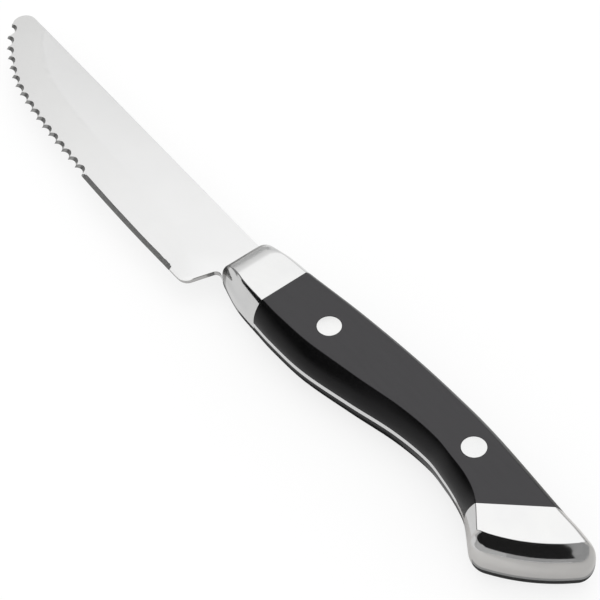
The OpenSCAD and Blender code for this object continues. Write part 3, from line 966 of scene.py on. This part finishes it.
finish_piece(make_blade([blade_steel(), edge_steel()]), "blade_steel", "blade")
for piece_name, piece_ring in (("bolster", bolster_ring), ("pommel", pommel_ring)):
    piece = make_cheeks(piece_name + "_steel", piece_ring)
    finish_piece(piece, "polished_steel", piece_name + "_left", piece_name + "_right")
finish_piece(make_scale("left_scale", 1), "black_scale", "scale_left")
finish_piece(make_scale("right_scale", -1), "black_scale", "scale_right")
for end, point in rivet_points.items():
    post = make_post(end + "_rivet_solid_half", point)
    finish_piece(post, "polished_steel", end + "_rivet_post")
    sleeve = make_sleeve(end + "_rivet_hollow_half", point)
    finish_piece(sleeve, "polished_steel", end + "_rivet_sleeve")

# Camera, fitted to the two rivet heads of the photograph
PHOTO_SIZE = 600
FRONT_RIVET_PX = (329.24, 325.91)
FOCAL_PX = 2400
SENSOR_MM = 36
CAMERA_ELEVATION = 49.15
CAMERA_ROLL = -2.915
CAMERA_REACH = 638.9 * MM
KNIFE_HEADING = -56.286


def make_camera():
    """Camera whose axis meets the plane of the flat face at CAMERA_REACH."""
    elevation, roll = math.radians(CAMERA_ELEVATION), math.radians(CAMERA_ROLL)
    forward = Vector((0, math.cos(elevation), -math.sin(elevation)))
    level = Vector((1, 0, 0))
    rise = level.cross(forward)
    right = level * math.cos(roll) + rise * math.sin(roll)
    up = rise * math.cos(roll) - level * math.sin(roll)
    eye = -forward * CAMERA_REACH
    px, py = (p - PHOTO_SIZE / 2 for p in FRONT_RIVET_PX)
    sight = forward * FOCAL_PX + right * px - up * py
    rivet_seen = eye - sight * (eye.z / sight.z)
    to_knife = Matrix.Rotation(math.radians(-KNIFE_HEADING), 3, "Z")
    rivet_top = Vector((*(rivet_mid * MM).xy, rivet_box[1].z))
    data = bpy.data.cameras.new("camera")
    data.sensor_width = SENSOR_MM
    data.lens = FOCAL_PX / PHOTO_SIZE * SENSOR_MM
    camera = add_object("camera", data)
    axes = Matrix([to_knife @ v for v in (right, up, -forward)]).transposed()
    camera.matrix_world = Matrix.Translation(rivet_top + to_knife @ (eye - rivet_seen)) @ axes.to_4x4()
    bpy.context.scene.camera = camera


make_camera()

# Studio in metres: plain white room and floor, one large soft lamp, and cards and mats that only mirrors show
FLOOR_SIZE = 6
FLOOR_WHITE = 0.97
# Share of plain white in the floor, for the camera and for mirrors
FLOOR_GLOW = {"Is Camera Ray": 0.78, "Is Glossy Ray": 0.68, "Is Transmission Ray": 0.68}
LAMP_SIZE = 1.4
LAMP_REACH = 1.5
LAMP_WATTS = 2.4
LAMP_AZIMUTH = 137
LAMP_ELEVATION = 67
CARD_REACH = 1.2
CARD_STEPS = 24
# Each far card: its grey, its span of azimuth, the elevation of its lower edge at both ends, and of its top
CARDS = {
    "belly_far_card": (0.012, (-122, -98), (3, 4), 72),
    "left_card": (0.012, (-132, -122), (8, 14), 72),
    "bend_card": (0.05, (-138, -132), (14, 8), 45),
    "side_card": (0.3, (-178, -138), (0, 0), 60),
    "right_card": (0.43, (-24, 75), (0, 0), 70),
    "low_card": (0.46, (-72, -24), (1, 1), 15),
    "far_card": (0.6, (146, 180), (0, 0), 24),
}
# Cards close round the pommel, so that little else mirrors them: their middle and, before what a far card
# has, the reach of each, in millimetres
BUTT_CARD_AT = (117, 2, 12)
BUTT_CARDS = {
    "butt_card": (60, 0.022, (-94, -17), (17, 13.4), 74),
    "butt_corner_card": (60, 0.022, (-128, -94), (5, 17), 74),
    "butt_end_card": (60, 0.022, (-17, -9), (30, 60), 74),
    "butt_low_card": (66, 0.66, (-128, -62), (-12, 2), 24),
}
# The mat in front of the butt: a point of its near edge, its heading, and greys at distances from that edge
MAT_EDGE = (0.1, -0.02)
MAT_HEADING = 10
MAT_STOPS = [(-0.01, 0.88), (0.028, 0.84), (0.046, 0.72), (0.3, 0.5)]
MAT_SPAN = 0.6
MAT_WARMTH = 0.98
MAT_LIFT = 0.05 * MM
# Mats of painted shadow under the handle, seen only in mirrors, in millimetres of the working frame: where
# each starts, its margin past the butt and the back, and its grey; and how far inside the belly both run, or
# outside it where the number is below zero, at two shares of the handle's length
FOOT_SHADOW_MATS = [(-8, 4, 0.5), (8, 1.5, 0.08)]
FOOT_TAPER_SHARES = (0.5, 0.68)
FOOT_SINKS = (-1.5, 2)
# Mat of painted shadow behind the pommel, seen only in mirrors, in millimetres of the working frame
BACK_SHADOW_MAT = ((85, 38), (85, 85), (135, 85), (135, 38))
BACK_SHADOW_GREY = 0.3
# Low card beside the belly, on two points of the working frame's plan, between two heights
BELLY_CARD = ((48, -92), (5, -56))
BELLY_CARD_RISE = (15.5, 70)
BELLY_CARD_GREY = 0.012


def plain(name, grey):
    """Matt grey for the studio."""
    material = bpy.data.materials.new(name)
    material.use_nodes = True
    shade = material.node_tree.nodes["Principled BSDF"]
    shade.inputs["Base Color"].default_value = (grey, grey, grey, 1)
    shade.inputs["Roughness"].default_value = 1
    shade.inputs["Specular IOR Level"].default_value = 0
    return material


def stage_mesh(name, points, faces, grey):
    mesh = bpy.data.meshes.new(name)
    mesh.from_pydata(points, [], faces)
    mesh.materials.append(plain(name, grey))
    obj = add_object(name, mesh)
    return obj


def make_world():
    world = bpy.data.worlds.new("studio")
    world.use_nodes = True
    world.node_tree.nodes["Background"].inputs["Color"].default_value = (1, 1, 1, 1)
    bpy.context.scene.world = world


def make_floor():
    half = FLOOR_SIZE / 2
    corners = [(-half, -half, 0), (half, -half, 0), (half, half, 0), (-half, half, 0)]
    floor = stage_mesh("floor", corners, [(0, 1, 2, 3)], FLOOR_WHITE)
    tree = floor.data.materials[0].node_tree
    path = tree.nodes.new("ShaderNodeLightPath")
    glow = None
    for kind, share in FLOOR_GLOW.items():
        part = tree.nodes.new("ShaderNodeMath")
        part.operation = "MULTIPLY_ADD"
        tree.links.new(path.outputs[kind], part.inputs[0])
        part.inputs[1].default_value = share
        part.inputs[2].default_value = 0
        if glow:
            tree.links.new(glow, part.inputs[2])
        glow = part.outputs[0]
    white = tree.nodes.new("ShaderNodeEmission")
    mix = tree.nodes.new("ShaderNodeMixShader")
    tree.links.new(glow, mix.inputs["Fac"])
    tree.links.new(tree.nodes["Principled BSDF"].outputs[0], mix.inputs[1])
    tree.links.new(white.outputs[0], mix.inputs[2])
    tree.links.new(mix.outputs[0], tree.nodes["Material Output"].inputs["Surface"])


def aim(azimuth, elevation):
    level = math.cos(math.radians(elevation))
    return np.array([*(level * ray(azimuth)), math.sin(math.radians(elevation))])


def make_lamp():
    data = bpy.data.lights.new("lamp", "AREA")
    data.shape = "DISK"
    data.size = LAMP_SIZE
    data.energy = LAMP_WATTS
    lamp = add_object("lamp", data)
    direction = Vector(aim(LAMP_AZIMUTH, LAMP_ELEVATION))
    lamp.location = direction * LAMP_REACH
    lamp.rotation_mode = "QUATERNION"
    lamp.rotation_quaternion = direction.to_track_quat("Z", "Y")


def mirrors_only(obj):
    obj.visible_camera = False
    obj.visible_diffuse = False
    obj.visible_shadow = False


def make_card(name, centre, reach, grey, azimuths, lows, high):
    """Curved card that the polished sides mirror; the camera, and light and shade, pass through it."""
    n = CARD_STEPS + 1
    points = [
        centre + aim(azimuth, low + (high - low) * t) * reach
        for t in np.linspace(0, 1, n)
        for azimuth, low in zip(np.linspace(*azimuths, n), np.linspace(*lows, n))
    ]
    faces = [
        (k * n + i, k * n + i + 1, (k + 1) * n + i + 1, (k + 1) * n + i)
        for k in range(CARD_STEPS)
        for i in range(CARD_STEPS)
    ]
    mirrors_only(stage_mesh(name, points, faces, grey))


def make_mat():
    """Mat in front of the butt, grey further out, which the polished sides mirror in place of bare white."""
    ahead, across = ray(MAT_HEADING), ray(MAT_HEADING + 90)
    first, last = MAT_STOPS[0][0], MAT_STOPS[-1][0]
    spans = [(first, -MAT_SPAN), (MAT_SPAN, -MAT_SPAN), (MAT_SPAN, MAT_SPAN), (first, MAT_SPAN)]
    corners = [np.array(MAT_EDGE) + ahead * u + across * v for u, v in spans]
    mat = stage_mesh("mat", [(*p, MAT_LIFT) for p in corners], [(0, 1, 2, 3)], 1)
    tree = mat.data.materials[0].node_tree
    place_at = tree.nodes.new("ShaderNodeTexCoord")
    reach = tree.nodes.new("ShaderNodeVectorMath")
    reach.operation = "DOT_PRODUCT"
    reach.inputs[1].default_value = (*ahead, 0)
    tree.links.new(place_at.outputs["Object"], reach.inputs[0])
    share = tree.nodes.new("ShaderNodeMapRange")
    near = np.array(MAT_EDGE) @ ahead
    share.inputs["From Min"].default_value = near + first
    share.inputs["From Max"].default_value = near + last
    tree.links.new(reach.outputs["Value"], share.inputs["Value"])
    ramp_node = tree.nodes.new("ShaderNodeValToRGB")
    stops = ramp_node.color_ramp.elements
    for u, _ in MAT_STOPS[1:-1]:
        stops.new((u - first) / (last - first))
    for stop, (_, grey) in zip(stops, MAT_STOPS):
        stop.color = (grey, grey * MAT_WARMTH, grey * MAT_WARMTH**2, 1)
    tree.links.new(share.outputs["Result"], ramp_node.inputs["Fac"])
    tree.links.new(ramp_node.outputs["Color"], tree.nodes["Principled BSDF"].inputs["Base Color"])
    mirrors_only(mat)


def on_floor(points, height):
    return [((x + place[0]) * MM, (y + place[1]) * MM, height) for x, y in points]


def make_foot_shadow():
    """Painted shadow under the handle that only mirrors see: a grey mat and a dark one on it, which draw the
    dark line along its lower edge.
    """
    taper = np.array(FOOT_TAPER_SHARES) * HANDLE_LENGTH
    for layer, (start, margin, grey) in enumerate(FOOT_SHADOW_MATS, 2):
        x = np.linspace(start, foot_x, SCALE_N)
        outline = np.concatenate([
            belly_point(x, 0, np.interp(x, taper, FOOT_SINKS)),
            butt_end(0, -margin),
            spine_run(back_x, spine_start(0), 0, SCALE_N, -margin),
        ])
        points = on_floor(outline, layer * MAT_LIFT)
        mirrors_only(stage_mesh("foot_shadow_mat", points, [tuple(range(len(points)))], grey))


def make_back_mat():
    """Painted shadow behind the pommel that only mirrors see: a grey mat, which draws the thin dark line
    along its back.
    """
    mirrors_only(stage_mesh("back_shadow_mat", on_floor(BACK_SHADOW_MAT, MAT_LIFT), [(0, 1, 2, 3)], BACK_SHADOW_GREY))


def make_belly_card():
    """Low dark card for the rear of the belly to mirror."""
    low, high = (on_floor(BELLY_CARD, z * MM) for z in BELLY_CARD_RISE)
    mirrors_only(stage_mesh("belly_card", [*low, *high[::-1]], [(0, 1, 2, 3)], BELLY_CARD_GREY))


make_world()
make_floor()
make_foot_shadow()
make_back_mat()
make_belly_card()
make_lamp()
make_mat()
for card_name, card_facts in CARDS.items():
    make_card(card_name, np.zeros(3), CARD_REACH, *card_facts)
butt_at = np.array(BUTT_CARD_AT) * MM
for card_name, (card_reach, *card_facts) in BUTT_CARDS.items():
    make_card(card_name, butt_at, card_reach * MM, *card_facts)
bpy.context.scene.view_settings.view_transform = "Standard"
